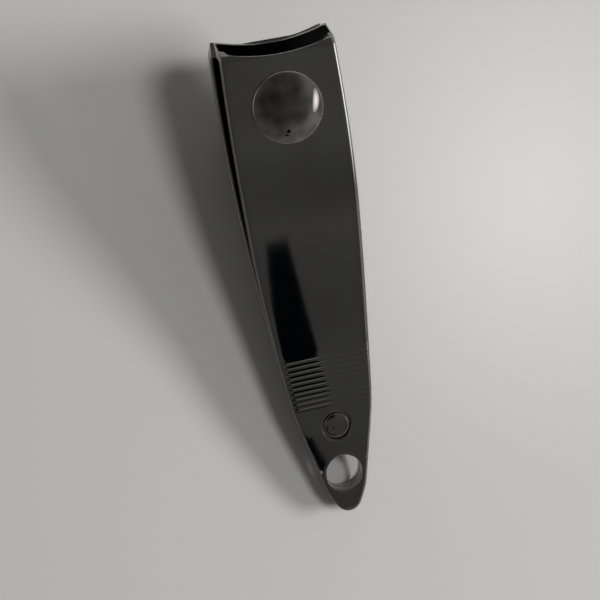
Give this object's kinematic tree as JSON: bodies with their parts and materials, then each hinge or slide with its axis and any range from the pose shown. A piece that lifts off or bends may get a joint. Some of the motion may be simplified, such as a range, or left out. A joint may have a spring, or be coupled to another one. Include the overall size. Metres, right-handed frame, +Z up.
{
  "type": "nail clipper",
  "caption": "Compound-lever nail clipper with hooked concave jaws, domed swivel post, stowed folding lever and a ringed, riveted tail.",
  "frame": {"origin": "centre of the whole clipper's box at its base, on the surface it lies on, as the picture shows it: lower jaw upward, lever stowed beneath", "axes": "+X from the tail towards the cutting head, +Y across to the clipper's left, +Z up from the surface; the tail's plane is tilted 10.35 degrees about Y, head raised"},
  "size_m": [0.0576, 0.0136, 0.0164],
  "materials": {
    "black_nickel": "mirror-polished dark grey (black nickel) plating over steel sheet",
    "black_nickel_post": "mirror-polished dark grey (black nickel) plating over turned steel",
    "black_nickel_rivet": "dark grey plating over a flattened steel rivet"
  },
  "bodies": {
    "lower_leaf": {"lower_jaw": "black_nickel", "upper_jaw_tail": "black_nickel", "tail_rivet": "black_nickel_rivet"},
    "upper_leaf": {"upper_jaw": "black_nickel"},
    "post": {"post": "black_nickel_post"},
    "pin": {"cross_pin": "black_nickel_post"},
    "lever": {"lever": "black_nickel"}
  },
  "joints": [
    {"name": "jaw_close", "type": "hinge", "parent": "lower_leaf", "child": "upper_leaf", "pos_m": [-0.00784, 0, 0.00443], "axis": [0, -1, 0], "range_deg": [0, 4.25], "stiffness_Nm_per_rad": 4},
    {"name": "post_swivel", "type": "hinge", "parent": "lower_leaf", "child": "post", "pos_m": [0.01955, 0, 0.01477], "axis": [-0.2274, 0, 0.9738], "range_deg": [-180, 180]},
    {"name": "lever_fold", "type": "hinge", "parent": "post", "child": "pin", "pos_m": [0.02197, 0, 0.00438], "axis": [0, -1, 0], "range_deg": [0, 150]},
    {"name": "lever_press", "type": "hinge", "parent": "pin", "child": "lever", "pos_m": [0.02197, 0, 0.00438], "axis": [0, -1, 0], "range_deg": [0, 36]}
  ],
  "couplings": [
    {"joint": "jaw_close", "follows": "lever_press", "ratio": 0.118}
  ]
}
